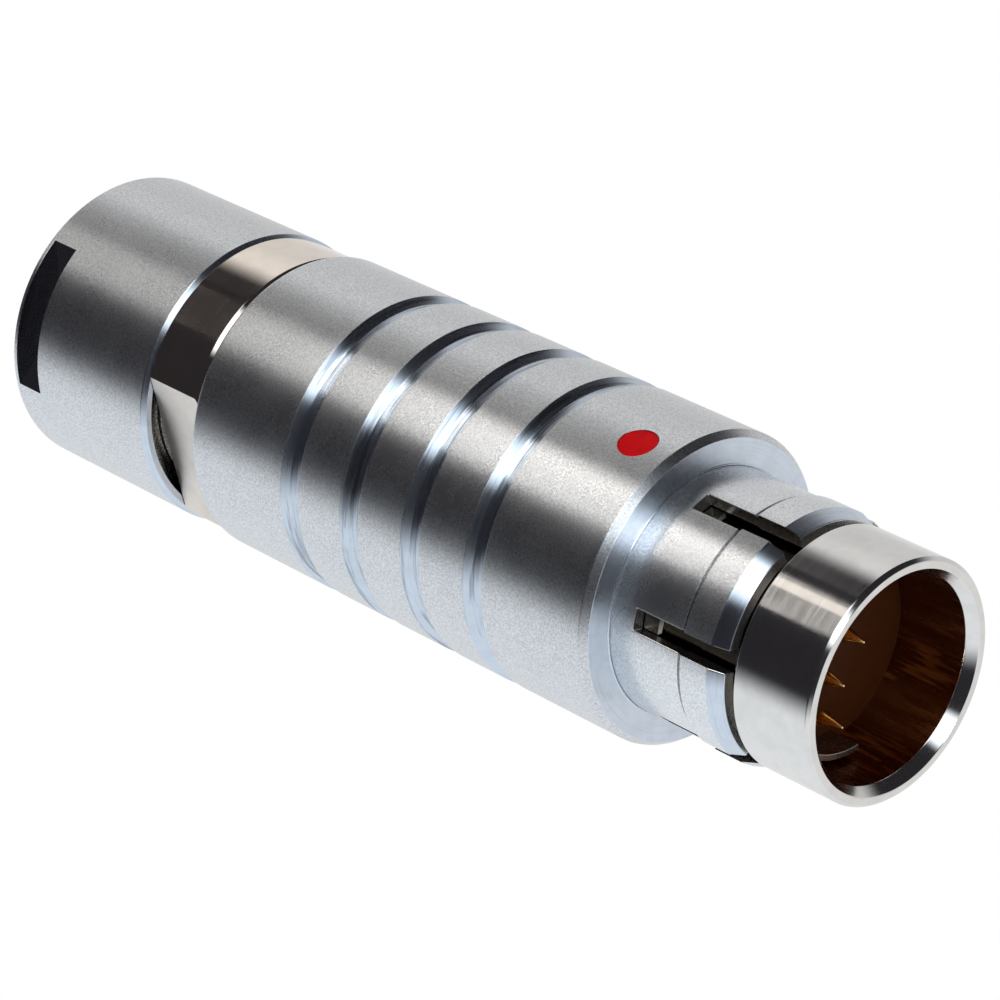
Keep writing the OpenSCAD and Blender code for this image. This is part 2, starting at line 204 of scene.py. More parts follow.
def shaded(obj, reach=26):
    """Exact normals. A narrow face of a turned surface leans with the angle of each of its corners, any other
    face is flat, and faces that meet at less than reach degrees share their normals by area."""
    mesh = obj.data
    points, loops, faces = len(mesh.vertices), len(mesh.loops), len(mesh.polygons)
    co = read(mesh.vertices, "co", 3)
    at = read(mesh.loops, "vertex_index", kind=int)
    size = read(mesh.polygons, "loop_total", kind=int)
    normal, middle = read(mesh.polygons, "normal", 3), read(mesh.polygons, "center", 3)
    area = read(mesh.polygons, "area")

    # the face of each corner, and how far around the axis the corner lies from the middle of that face
    of = np.repeat(np.arange(faces), size)
    around = np.arctan2(middle[:, 1], middle[:, 0])
    lean = np.arctan2(co[at, 1], co[at, 0]) - around[of]
    lean = (lean + np.pi) % (2 * np.pi) - np.pi
    widest = np.zeros(faces)
    np.maximum.at(widest, of, np.abs(lean))
    side = normal[:, 1] * np.cos(around) - normal[:, 0] * np.sin(around)
    on_lathe = (widest < math.radians(2.5)) & (np.abs(side) < 0.03)
    lean = np.where(on_lathe[of], lean, 0)
    n = normal[of]
    n = np.stack([n[:, 0] * np.cos(lean) - n[:, 1] * np.sin(lean),
                  n[:, 0] * np.sin(lean) + n[:, 1] * np.cos(lean), n[:, 2]], 1)

    # a row for each point with the normals of all its corners, in which those that are alike are merged
    order = np.argsort(at, kind="stable")
    count = np.bincount(at, minlength=points)
    first = np.concatenate([[0], np.cumsum(count)[:-1]])
    rank = np.empty(loops, int)
    rank[order] = np.arange(loops) - first[at[order]]
    table = np.zeros((points, count.max(), 3))
    weight = np.zeros((points, count.max()))
    table[at, rank] = n
    weight[at, rank] = area[of] + 1e-15
    alike = np.einsum("pik,pjk->pij", table, table) > math.cos(math.radians(reach))
    merged = np.einsum("pij,pj,pjk->pik", alike, weight, table)[at, rank]
    merged /= np.maximum(np.linalg.norm(merged, axis=1, keepdims=True), 1e-30)
    mesh.normals_split_custom_set(merged.tolist())


def finish_mesh(obj, edge=0.025):
    """Merges slivers, breaks the sharp edges and gives the piece its exact normals."""
    bm = bmesh.new()
    bm.from_mesh(obj.data)
    bmesh.ops.remove_doubles(bm, verts=bm.verts, dist=2e-6)
    bmesh.ops.dissolve_degenerate(bm, edges=bm.edges, dist=1e-7)
    bm.to_mesh(obj.data)
    bm.free()
    if edge:
        b = obj.modifiers.new("edges", "BEVEL")
        b.width, b.segments, b.limit_method = edge * MM, 3, "ANGLE"
        b.angle_limit, b.use_clamp_overlap = math.radians(40), False
        apply_modifiers(obj)
    obj.data.shade_smooth()
    shaded(obj)


# ---------------------------------------------------------------- node tools
def colour(r, g, b):
    return (r, g, b, 1)


def shade_of(tone, share):
    return colour(*[c * share for c in tone])


BLACK, WHITE = colour(0, 0, 0), colour(1, 1, 1)


class Nodes:
    """A short way to build a node tree."""

    def __init__(self, tree):
        self.tree = tree
        self.shader = tree.nodes.get("Principled BSDF")

    def new(self, kind):
        return self.tree.nodes.new("ShaderNode" + kind)

    def feed(self, socket, value):
        """Links a socket to value, or sets it where value is a constant."""
        if isinstance(value, bpy.types.NodeSocket):
            self.tree.links.new(value, socket)
        else:
            socket.default_value = value

    def math(self, operation, *values):
        node = self.new("Math")
        node.operation = operation
        for socket, value in zip(node.inputs, values):
            self.feed(socket, value)
        return node.outputs[0]

    def vec(self, operation, *values):
        node = self.new("VectorMath")
        node.operation = operation
        for socket, value in zip(node.inputs, values):
            self.feed(socket, value)
        return node.outputs["Value" if operation == "DOT_PRODUCT" else "Vector"]

    def split(self, vector):
        node = self.new("SeparateXYZ")
        self.feed(node.inputs[0], vector)
        return node.outputs

    def ramp(self, value, low, high, to_low=0.0, to_high=1.0, smooth=True):
        node = self.new("MapRange")
        node.interpolation_type = "SMOOTHSTEP" if smooth else "LINEAR"
        keys = ("Value", "From Min", "From Max", "To Min", "To Max")
        for key, v in zip(keys, (value, low, high, to_low, to_high)):
            self.feed(node.inputs[key], v)
        return node.outputs["Result"]

    def window(self, value, low, low_soft, high, high_soft):
        """1 between low and high, with edges that are low_soft and high_soft wide."""
        rise = self.ramp(value, low - low_soft / 2, low + low_soft / 2)
        fall = self.ramp(value, high - high_soft / 2, high + high_soft / 2, 1.0, 0.0)
        return self.math("MULTIPLY", rise, fall)

    def mix(self, factor, a, b):
        """A mix of two colours."""
        node = self.new("Mix")
        node.data_type = "RGBA"
        self.feed(node.inputs[0], factor)
        self.feed(node.inputs[6], a)
        self.feed(node.inputs[7], b)
        return node.outputs[2]

    def mix_shaders(self, factor, a, b):
        node = self.new("MixShader")
        for socket, value in zip(node.inputs, (factor, a, b)):
            self.feed(socket, value)
        return node.outputs[0]

    def surface(self, shader):
        """Makes shader the surface of the material."""
        self.feed(self.tree.nodes["Material Output"].inputs["Surface"], shader)

    def noise(self, vector, scale, detail, rough):
        node = self.new("TexNoise")
        self.feed(node.inputs["Vector"], vector)
        node.inputs["Scale"].default_value = scale
        node.inputs["Detail"].default_value = detail
        node.inputs["Roughness"].default_value = rough
        return node.outputs["Fac"]

    def position(self):
        """Where a point lies on its piece, in mm."""
        return self.vec("MULTIPLY", self.new("TexCoord").outputs["Object"], (1000, 1000, 1000))

    def circles(self, position):
        """A position whose texture runs in circles around the axis."""
        x, y, z = self.split(position)
        square = self.math("ADD", self.math("MULTIPLY", x, x), self.math("MULTIPLY", y, y))
        radius = self.math("SQRT", square)
        node = self.new("CombineXYZ")
        for socket, v in zip(node.inputs, (x, y)):
            self.feed(socket, self.math("DIVIDE", v, self.math("MULTIPLY", radius, 5.0)))
        self.feed(node.inputs[2], self.math("ADD", z, self.math("MULTIPLY", radius, 1.7)))
        return node.outputs[0]

    def bump(self, height, strength, distance):
        """Fine relief, distance mm deep."""
        node = self.new("Bump")
        self.feed(node.inputs["Height"], height)
        node.inputs["Strength"].default_value = strength
        node.inputs["Distance"].default_value = distance * MM
        self.feed(self.shader.inputs["Normal"], node.outputs[0])

    def flakes(self, position, scale, amount):
        """A normal that leans a little in every tiny cell, as blasted metal does."""
        cells = self.new("TexVoronoi")
        self.feed(cells.inputs["Vector"], position)
        cells.inputs["Scale"].default_value = scale
        lean = self.vec("SUBTRACT", cells.outputs["Color"], (0.5, 0.5, 0.5))
        lean = self.vec("MULTIPLY", lean, (amount, amount, amount))
        return self.vec("NORMALIZE", self.vec("ADD", lean, self.new("NewGeometry").outputs["Normal"]))

    def lathe_marks(self, amount):
        """Stretches the gloss across the circles that a lathe leaves."""
        tangent = self.new("Tangent")
        tangent.direction_type, tangent.axis = "RADIAL", "Z"
        self.feed(self.shader.inputs["Tangent"], tangent.outputs[0])
        self.shader.inputs["Anisotropic"].default_value = amount
        self.shader.inputs["Anisotropic Rotation"].default_value = 0.25


def material(name, **values):
    """A new material and its nodes. Each value is set on the shader's socket of that name."""
    finish = bpy.data.materials.new(name)
    finish.use_nodes = True
    n = Nodes(finish.node_tree)
    for key, value in values.items():
        n.shader.inputs[key.replace("_", " ")].default_value = value
    return finish, n


# ---------------------------------------------------------------- finishes
def satin(name, tone, rough=(0.265, 0.29), lean=0.008):
    """Blasted chrome: fine grains that each lean their own way, light and dark specks, a faint unevenness in
    tone."""
    finish, n = material(name, Metallic=1.0)
    position = n.position()
    grain = n.noise(position, 9.0, 1.0, 0.6)
    cloud = n.noise(position, 0.5, 3.0, 0.6)
    speck = n.noise(position, 6.5, 1.0, 0.5)
    tint = n.mix(n.ramp(cloud, 0.3, 0.7), shade_of(tone, 0.96), shade_of(tone, 1.0))
    tint = n.mix(n.ramp(grain, 0.3, 0.7), n.mix(0.22, tint, BLACK), n.mix(0.22, tint, WHITE))
    tint = n.mix(n.ramp(speck, 0.17, 0.24, 1.0, 0.0), tint, shade_of(tone, 0.3))
    tint = n.mix(n.ramp(speck, 0.77, 0.83), tint, WHITE)
    n.feed(n.shader.inputs["Base Color"], tint)
    n.feed(n.shader.inputs["Roughness"], n.ramp(cloud, 0.3, 0.7, rough[0], rough[1], False))
    n.feed(n.shader.inputs["Normal"], n.flakes(position, 8.0, lean))
    return finish


def turned(name, tone, rough, marks=0.75, lines=8.0, depth=0.12, groove=0.0):
    """Turned and plated: fine circles with painted shade in their hollows, as dark as groove says, and a gloss
    stretched across them.
    """
    finish, n = material(name, Metallic=1.0)
    position = n.position()
    fine = n.noise(n.circles(position), lines, 3.0, 0.65)
    smear = n.noise(position, 0.9, 3.0, 0.6)
    tint = n.mix(n.ramp(smear, 0.35, 0.7), shade_of(tone, 1.0), shade_of(tone, 0.93))
    # painted shade: the hollows of the fine circles go towards black by groove
    tint = n.mix(n.ramp(fine, 0.36, 0.5, groove, 0.0), tint, BLACK)
    n.feed(n.shader.inputs["Base Color"], tint)
    worn = n.math("ADD", n.math("MULTIPLY", fine, 0.6), n.math("MULTIPLY", smear, 0.4))
    n.feed(n.shader.inputs["Roughness"], n.ramp(worn, 0.3, 0.7, rough[0], rough[1], False))
    n.bump(fine, depth, 0.02)
    n.lathe_marks(marks)
    return finish


def bored(name, deep, bright, rough):
    """A bored wall whose tone and gloss change around it, in streaks that run along the axis: deep is painted
    shade together with a painted reflection of the brown insert, and bright is the painted reflection of the
    gold pins.
    """
    finish, n = material(name, Metallic=1.0)
    position = n.position()
    streak = n.noise(n.vec("MULTIPLY", position, (1.0, 1.0, 0.1)), 2.4, 2.0, 0.6)
    group = n.noise(n.vec("MULTIPLY", position, (1.0, 1.0, 0.3)), 0.4, 1.0, 0.5)
    # painted reflections: where both noises are high the wall takes the gold of the pins
    painted_streaks = n.math("MULTIPLY", n.ramp(streak, 0.5, 0.64), n.ramp(group, 0.46, 0.6))
    n.feed(n.shader.inputs["Base Color"], n.mix(painted_streaks, deep, bright))
    n.feed(n.shader.inputs["Roughness"], n.ramp(streak, 0.3, 0.7, rough[1], rough[0], False))
    n.bump(n.noise(n.circles(position), 6.0, 2.0, 0.6), 0.1, 0.02)
    n.lathe_marks(0.9)
    return finish


def plain(name, base, rough, grain=6.0, depth=0.05, **values):
    """Mottled colour, mottled roughness and a fine grain."""
    finish, n = material(name, **values)
    position = n.position()
    fine = n.noise(position, grain, 3.0, 0.6)
    mottle = n.ramp(n.noise(position, 1.3, 4.0, 0.6), 0.3, 0.7)
    n.feed(n.shader.inputs["Base Color"], n.mix(mottle, shade_of(base, 0.85), shade_of(base, 1.0)))
    n.feed(n.shader.inputs["Roughness"], n.ramp(fine, 0.3, 0.7, rough - 0.04, rough + 0.04, False))
    n.bump(fine, depth, 0.05)
    return finish


SATIN = satin("satin_chrome_lands", (0.75, 0.76, 0.77))
SATIN_PALE = satin("satin_chrome_sleeve", (0.86, 0.87, 0.88))
# near black satin chrome: painted shade for the nut's counterbore, in the recess between the nut and the collar
SATIN_COUNTERBORE_PAINTED_SHADE = satin("satin_chrome_counterbore_painted_shade", (0.07, 0.068, 0.064))
# satin chrome darkened to a third: painted shade for the slot walls, the fingers' inner faces and the groove
# before the heads
SATIN_PAINTED_SHADE = satin("satin_chrome_inside_painted_shade", (0.22, 0.21, 0.195))
# groove is the painted shade in the hollows of the turning marks: faint on the faces, strong in the grip grooves
TURNED = turned("turned_chrome", (0.68, 0.74, 0.82), (0.20, 0.27), marks=0.92, depth=0.3, groove=0.08)
GROOVED = turned("turned_chrome_grooves", (0.66, 0.72, 0.80), (0.20, 0.27), marks=0.9, lines=7.0, depth=0.4,
                 groove=0.4)
RECESS = turned("polished_recess", (0.55, 0.56, 0.58), (0.08, 0.12), marks=0.0, lines=2.0, depth=0.03)
NICKEL = turned("bright_nickel_front", (0.80, 0.775, 0.745), (0.10, 0.15), depth=0.03)
# bright nickel darkened to a quarter: painted shade for the barrel under the sleeve
NICKEL_PAINTED_SHADE = turned("bright_nickel_inside_painted_shade", (0.20, 0.175, 0.145), (0.16, 0.24), depth=0.05)
# nickel bore in painted shade, with painted reflections of the brown insert and of the gold pins
NICKEL_BORE_PAINTED_REFLECTIONS = bored("bright_nickel_bore_painted_reflections", colour(0.30, 0.10, 0.03), colour(1.0, 0.62, 0.22), (0.16, 0.30))
COLLAR = turned("bright_nickel_collar", (0.95, 0.84, 0.73), (0.055, 0.075), depth=0.02)
# a copy of the nickel in painted half shade: lighter than the shaded inside, darker than the front, where the
# slots let light onto the ledge
LEDGE_PAINTED_HALF_SHADE = turned("bright_nickel_ledge_painted_half_shade", (0.62, 0.57, 0.50), (0.10, 0.16), depth=0.03)
COLLAR_FLAT = turned("bright_nickel_flat", (0.82, 0.75, 0.68), (0.36, 0.42), marks=0.0, lines=2.0, depth=0.02)
# bright nickel darkened to about half: painted shade for the key half shell deep in the socket
HALF_SHELL_PAINTED_SHADE = turned("bright_nickel_key_painted_shade", (0.42, 0.39, 0.36), (0.22, 0.3), depth=0.05)
GOLD = plain("gold_contact", (1.0, 0.74, 0.32), 0.17, Metallic=1.0)
PEEK = plain("brown_insert", (0.055, 0.014, 0.003), 0.5, Specular_IOR_Level=0.1)
RUBBER = plain("black_ring", (0.03, 0.03, 0.03), 0.6, depth=0.3)
STEEL = plain("ground_steel", (0.58, 0.57, 0.56), 0.28, Metallic=1.0)
RED = plain("red_dot_fill", (0.84, 0.002, 0.005), 0.5, grain=2.0, Specular_IOR_Level=0.06)


def dress(obj, body, slot, nodes, main, *zones):
    """Gives a piece its materials and its body, and hides the CAD nodes that it stands in for. A zone is a
    material and the test its faces pass, on the face's distance from the axis and height in mm, its normal, and
    its angle around the axis. The last zone that fits counts."""
    obj.data.materials.clear()
    for finish in (main, *[zone[0] for zone in zones]):
        obj.data.materials.append(finish)
    for p in obj.data.polygons:
        r, z = math.hypot(p.center.x, p.center.y) / MM, p.center.z / MM
        a = math.degrees(math.atan2(p.center.y, p.center.x))
        p.material_index = 0
        for i, (_, test) in enumerate(zones):
            if test(r, z, p.normal, a):
                p.material_index = i + 1
    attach(obj, body)
    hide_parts(*nodes)


def side_of(n, a):
    """How far a normal turns sideways at angle a: 0 on a turned face, 1 on the wall of a slot."""
    return n.y * math.cos(math.radians(a)) - n.x * math.sin(math.radians(a))


# ---------------------------------------------------------------- grip shell
def groove(z):
    """The outline of a grip groove that starts at height z: a curved run-in, a floor and a short wall."""
    floor_r = SHELL_R - GROOVE_DEEP
    return [(SHELL_R, z, 0.05), (SHELL_R - 0.4, z + 0.45, 0.25), (floor_r, z + 0.85, 0.2),
            (floor_r, z + GROOVE_W - 0.22, 0.1), (SHELL_R, z + GROOVE_W, 0.04)]


outline = [(SHELL_BORE, Z_SHELL, 0.05), (SHELL_R, Z_SHELL, 0.2)]
for i in range(GROOVE_COUNT):
    outline += groove(GROOVE_FIRST + GROOVE_PITCH * i)
outline += [
    (SHELL_R, Z_FACE - FACE_EDGE_Z, 0.1), (SHELL_R - FACE_EDGE_R, Z_FACE, 0.06), (LATCH_R + 0.13, Z_FACE, 0.02),
    (LATCH_R + 0.08, Z_FACE + 0.06, 0.04), (LATCH_R, Z_FACE + 0.03, 0.04), (LATCH_R, Z_STEP, 0),
    (SHELL_BORE, Z_STEP, 0)]
shell = lathe("grip_shell", outline)
cut(shell, [rod_at(DOT_ANGLE, DOT_R, SHELL_R - DOT_DEEP, SHELL_R + 1, DOT_Z),
            box_at(DOT_ANGLE + 180, KEY_ROOT, KEYWAY_R, KEYWAY_W, Z_SHELL - 1, KEYWAY_END)])
finish_mesh(shell)
dress(shell, "grip", "satin_chrome", ["outer_shell"], SATIN,
      (TURNED, lambda r, z, n, a: r < SHELL_R - 0.05 or abs(n.z) > 0.85),
      (GROOVED, lambda r, z, n, a: 8.4 < r < SHELL_R - 0.02 and GROOVE_FIRST < z < Z_FACE - 1),
      (SATIN, lambda r, z, n, a: z > Z_FACE - 0.45 and 0.3 < n.z < 0.85 and r > SHELL_R - 0.4))


# ---------------------------------------------------------------- red dot
def dot(name, angle, z, radius, r_top, r_foot, rings=14, around=72):
    """Enamel that follows the shell's curve, a little hollow in the middle and rising at its edge."""
    bm = bmesh.new()

    def point(rho, turn, r):
        a = math.radians(angle) + rho * math.cos(turn) / SHELL_R
        return (r * math.cos(a) * MM, r * math.sin(a) * MM, (z + rho * math.sin(turn)) * MM)

    def loop(rho, r):
        return [bm.verts.new(point(rho, 2 * math.pi * k / around, r)) for k in range(around)]

    loops = []
    for i in range(1, rings + 1):
        s = i / rings
        top = r_top - DOT_HOLLOW * (1 - s * s) + DOT_BRIM * max(0, (s - 0.85) / 0.15)
        loops.append(loop(radius * s, top))
    loops.append(loop(radius, r_foot))
    centre = bm.verts.new(point(0, 0, r_top - DOT_HOLLOW))
    for k in range(around):
        bm.faces.new((centre, loops[0][k], loops[0][(k + 1) % around]))
    for a, b in zip(loops, loops[1:]):
        for k in range(around):
            bm.faces.new((a[k], b[k], b[(k + 1) % around], a[(k + 1) % around]))
    bm.faces.new(loops[-1][::-1])
    bmesh.ops.recalc_face_normals(bm, faces=bm.faces)
    return made(name, bm)


red = dot("index_dot_enamel", DOT_ANGLE, DOT_Z, DOT_R - DOT_PLAY, SHELL_R - DOT_SINK,
          SHELL_R - DOT_DEEP + DOT_PLAY)
dress(red, "grip", "red_enamel", ["index_dot"], RED)

# ---------------------------------------------------------------- latch sleeve
HEAD_R, WAIST_R = LATCH_R + HEAD_RISE, LATCH_R - HEAD_GROOVE
sleeve = lathe("spring_sleeve", [
    (SLEEVE_BORE, Z_SLEEVE, 0.03), (SHELL_BORE, Z_SLEEVE, 0.03), (SHELL_BORE, Z_STEP, 0),
    (LATCH_R - 0.01, Z_STEP, 0), (LATCH_R - 0.01, Z_FACE + 0.05, 0), (LATCH_R, Z_FACE + 0.1, 0.02),
    (LATCH_R, Z_HEAD - 0.2, 0.02), (WAIST_R, Z_HEAD - 0.18, 0.01), (WAIST_R, Z_HEAD + 0.1, 0),
    (HEAD_R, Z_HEAD + 0.1, 0.04), (HEAD_R, Z_FINGER - CONE_LEN, 0.15), (LATCH_R - CONE_DROP, Z_FINGER, 0.08),
    (HEAD_BORE, Z_FINGER, 0.05), (HEAD_BORE, Z_HEAD, 0.03), (SLEEVE_BORE, Z_HEAD - 0.15, 0.03)])
cut(sleeve, [box_at(SLOT_ANGLE + 360 / FINGER_COUNT * i, CORE_R, SHELL_R, SLOT_W, Z_SLOT, Z_FINGER + 0.5)
             for i in range(FINGER_COUNT)])
finish_mesh(sleeve, edge=0.05)
dress(sleeve, "grip", "satin_chrome", ["latch_sleeve"], SATIN_PALE,
      (TURNED, lambda r, z, n, a: z > Z_FINGER - CONE_LEN - 0.02 and 0.2 < n.z < 0.95),
      # painted shade: slot walls, inner faces and the groove floor before the heads in darkened chrome
      (SATIN_PAINTED_SHADE, lambda r, z, n, a: r < LATCH_R - 0.05 and z > Z_FACE and n.z < 0.2),
      (NICKEL, lambda r, z, n, a: r > LATCH_R - 0.09 and z > Z_FACE and 0.2 < abs(side_of(n, a)) < 0.97))

# ---------------------------------------------------------------- front shell
front = lathe("front_barrel", [
    (CORE_R, Z_TAIL, 0.05), (TAIL_R, Z_TAIL, 0.1), (TAIL_R, Z_GUIDE, 0.05), (GUIDE_R, Z_GUIDE, 0.08),
    (GUIDE_R, Z_LEDGE - 0.15, 0.03), (GUIDE_R - 0.15, Z_LEDGE, 0.03), (NECK_R, Z_LEDGE, 0.05),
    (NECK_R, Z_SHOULDER - 0.3, 0.1), (LIP_R, Z_SHOULDER - 0.15, 0.03), (LIP_R, Z_RING, 0.03),
    (RING_R - 0.15, Z_RING, 0.04), (RING_R, Z_RING + 0.15, 0.05), (RING_R, Z_RIM - 0.22, 0.14),
    (RING_R - 0.2, Z_RIM, 0.12), (MOUTH_R, Z_RIM, 0.14), (SOCKET_R, Z_RIM - MOUTH_DEEP, 0.2),
    (SOCKET_R, Z_SHOULDER, 0), (CORE_R, Z_SHOULDER, 0)])
finish_mesh(front, edge=0)
dress(front, "core", "bright_nickel", ["front_shell"], NICKEL,
      # painted shade: the guide, neck and lip under the sleeve in darkened nickel
      (NICKEL_PAINTED_SHADE, lambda r, z, n, a: z < Z_RING and r < 6.5),
      # painted half shade: the ledge that shows through the slots
      (LEDGE_PAINTED_HALF_SHADE, lambda r, z, n, a: Z_SLOT - 1 < z < Z_LEDGE and r > 5.9),
      # painted shade and painted reflections on the socket's bore
      (NICKEL_BORE_PAINTED_REFLECTIONS, lambda r, z, n, a: z > Z_SHOULDER and r < 5.9 and n.z < 0.3))

# ---------------------------------------------------------------- inside the socket
half = lathe("half_shell_key", [
    (HALF_INNER_R, Z_SHOULDER, 0), (HALF_OUTER_R, Z_SHOULDER, 0), (HALF_OUTER_R, Z_FLOOR + HALF_HEIGHT, 0.08),
    (HALF_INNER_R, Z_FLOOR + HALF_HEIGHT, 0.08)], segments=180, arc=HALF_ARC)
finish_mesh(half, edge=0.04)
# the key half shell takes the painted shade of its nickel
dress(half, "core", "bright_nickel", ["key_half_shell"], HALF_SHELL_PAINTED_SHADE)

for i, a in enumerate(PIN_ANGLES):
    pin = lathe("gold_pin_%d" % (i + 1), [
        (CUP_BORE, Z_CUPS, 0.03), (CUP_R, Z_CUPS, 0.03), (CUP_R, Z_INSUL_REAR, 0.02),
        (PIN_R, Z_INSUL_REAR, 0.02), (PIN_R, Z_INSUL - PIN_COLLAR_LEN, 0.02),
        (PIN_COLLAR_R, Z_INSUL - PIN_COLLAR_LEN, 0.02), (PIN_COLLAR_R, Z_INSUL, 0.02), (PIN_R, Z_INSUL, 0.02),
        (PIN_R, Z_TIP - TIP_LEN, 0.15), (TIP_R, Z_TIP, 0.03), (0, Z_TIP, 0), (0, Z_CUPS + CUP_DEEP, 0),
        (CUP_BORE, Z_CUPS + CUP_DEEP, 0.03)], segments=72)
    finish_mesh(pin, edge=0)
    pin.data.transform(Matrix.Rotation(math.radians(a), 4, "Z") @ Matrix.Translation((PIN_CIRCLE * MM, 0, 0)))
    dress(pin, "core", "gold_plate", ["contact_pin_%d" % (i + 1)], GOLD)


# ---------------------------------------------------------------- thread
def thread_points(r, z_from, z_to):
    """Close-set outline points along a threaded stretch, for cut_thread to move."""
    steps = round(abs(z_to - z_from) / THREAD_PITCH * THREAD_STEPS)
    return [(r, z_from + (z_to - z_from) * k / steps, 0) for k in range(1, steps)]


def cut_thread(obj, r, z0, z1):
    """Moves the points of a stretch at radius r into a right-hand thread that fades out at both ends."""
    for v in obj.data.vertices:
        radius, z = math.hypot(v.co.x, v.co.y) / MM, v.co.z / MM
        if abs(radius - r) < 0.01 and z0 < z < z1:
            turn = (z / THREAD_PITCH - math.atan2(v.co.y, v.co.x) / (2 * math.pi)) % 1
            fade = min(1, (z - z0) / THREAD_PITCH, (z1 - z) / THREAD_PITCH)
            factor = (radius - THREAD_DEEP * fade * abs(2 * turn - 1)) / radius
            v.co.x, v.co.y = v.co.x * factor, v.co.y * factor


# ---------------------------------------------------------------- collar and its spigots
def seal_groove(r, ends):
    """The outline of a seal's groove between two heights, in the order in which the outline meets them."""
    return [(r, ends[0], 0.03), (SEAL_FLOOR_R, ends[0], 0.05), (SEAL_FLOOR_R, ends[1], 0.05), (r, ends[1], 0.03)]


body = lathe("collar_body", [
    (CLAMP_R, Z_SPIGOT, 0.05), (CLAMP_R, Z_SEAL_END, 0), (CORE_R, Z_SEAL_END, 0.05), (CORE_R, Z_TAIL, 0),
    (TAIL_R, Z_TAIL, 0.03), (TAIL_R, Z_GUIDE, 0.05), (SPIGOT_R, Z_GUIDE, 0.15),
    *seal_groove(SPIGOT_R, Z_SHELL_SEAL[::-1]), (SPIGOT_R, Z_COLLAR_END, 0.03),
    (COLLAR_R - COLLAR_EDGE, Z_COLLAR_END, 0.03), (COLLAR_R, Z_COLLAR_END - COLLAR_EDGE, 0.03),
    (COLLAR_R, Z_COLLAR, 0.03), (THREAD_R, Z_COLLAR, 0.03), *seal_groove(THREAD_R, Z_NUT_SEAL[::-1]),
    *thread_points(THREAD_R, Z_NUT_SEAL[0], Z_SPIGOT), (THREAD_R, Z_SPIGOT, 0.1)])
cut_thread(body, THREAD_R, Z_SPIGOT + 0.12, Z_NUT_SEAL[0] - 0.02)
cut(body, [box_at(FLAT_ANGLE + turn, FLAT_R, BEYOND, 2 * BEYOND, Z_COLLAR - 0.005, Z_COLLAR_END + 0.01)
           for turn in (0, 180)] + [rod_at(DOT_ANGLE + 180, KEY_HOLE_R, KEY_ROOT, SHELL_R, Z_KEY, 32)])
finish_mesh(body)
dress(body, "core", "bright_nickel", ["inner_body"], COLLAR,
      (COLLAR_FLAT, lambda r, z, n, a: Z_COLLAR < z < Z_COLLAR_END and r < COLLAR_R - 0.05 and abs(n.z) < 0.2))

# ---------------------------------------------------------------- back nut
nut = lathe("rear_nut", [
    (CABLE_HOLE_R + NUT_REAR_EDGE, 0, 0.08), (NUT_R - NUT_REAR_EDGE, 0, 0.05), (NUT_R, NUT_REAR_EDGE, 0.05),
    (NUT_R, Z_NUT - NUT_EDGE, 0.1), (NUT_R - NUT_EDGE, Z_NUT, 0.05), (COUNTERBORE_R, Z_NUT, 0.08),
    (COUNTERBORE_FOOT_R, Z_NUT - COUNTERBORE_DEEP, 0.1), (NUT_BORE, Z_NUT - COUNTERBORE_DEEP, 0.03),
    (NUT_BORE, Z_NUT_BORE, 0), (SEAT_R, Z_NUT_BORE, 0.03), (SEAT_R, Z_SEAT, 0), (CABLE_HOLE_R, Z_SEAT, 0.03),
    (CABLE_HOLE_R, NUT_REAR_EDGE, 0.05)])
cut(nut, [box_at(RECESS_ANGLE + turn, RECESS_R, BEYOND, 2 * BEYOND, RECESS_Z0, RECESS_Z1) for turn in (0, 180)])
finish_mesh(nut, edge=0.02)
dress(nut, "nut", "satin_chrome", ["back_nut"], SATIN,
      (TURNED, lambda r, z, n, a: z > Z_NUT - NUT_EDGE - 0.02 or r < 7.5),
      # painted shade: the counterbore's floor and walls in near black chrome
      (SATIN_COUNTERBORE_PAINTED_SHADE, lambda r, z, n, a: 7.25 < r < 8.32 and Z_NUT - 0.03 > z > Z_NUT - COUNTERBORE_DEEP - 0.1),
      (RECESS, lambda r, z, n, a: RECESS_Z0 - 0.02 < z < RECESS_Z1 + 0.02 and r > 6 and (
          abs(n.z) > 0.5 or r < NUT_R - 0.06)))

# ---------------------------------------------------------------- pieces kept from the CAD
KEPT = {
    "insulator_front": PEEK, "insulator_rear": PEEK, "carrier_half_a": NICKEL, "carrier_half_b": NICKEL,
    "shield_ferrule": NICKEL, "guide_key": STEEL, "shell_seal": RUBBER, "nut_seal": RUBBER,
    "cable_seal": RUBBER, "collet": COLLAR, "clamp_washer": STEEL,
}
for node, finish in KEPT.items():
    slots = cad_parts[node].data.materials
    for k in range(len(slots)):
        slots[k] = finish

# ---------------------------------------------------------------- floor
# It is white to the camera and clear from below. Its material is white to mirrored rays too, but the floor is
# hidden from them, from other light and from shadows.
floor_mesh = bmesh.new()
bmesh.ops.create_grid(floor_mesh, x_segments=1, y_segments=1, size=3)
floor = made("floor", floor_mesh)
floor.location.z = -(NUT_TRAVEL + 0.5) * MM  # clear of the nut when it is screwed back
floor.visible_glossy = floor.visible_diffuse = floor.visible_shadow = floor.visible_transmission = False
pale, n = material("pale_floor", Base_Color=colour(0.9, 0.9, 0.9))
floor.data.materials.append(pale)
path = n.new("LightPath").outputs
mirrored = n.math("MAXIMUM", path["Is Glossy Ray"], path["Is Transmission Ray"])
seen = n.math("MAXIMUM", path["Is Camera Ray"], mirrored)
above = n.mix_shaders(seen, n.shader.outputs[0], n.new("Emission").outputs[0])
backside = n.new("NewGeometry").outputs["Backfacing"]
n.surface(n.mix_shaders(backside, above, n.new("BsdfTransparent").outputs[0]))

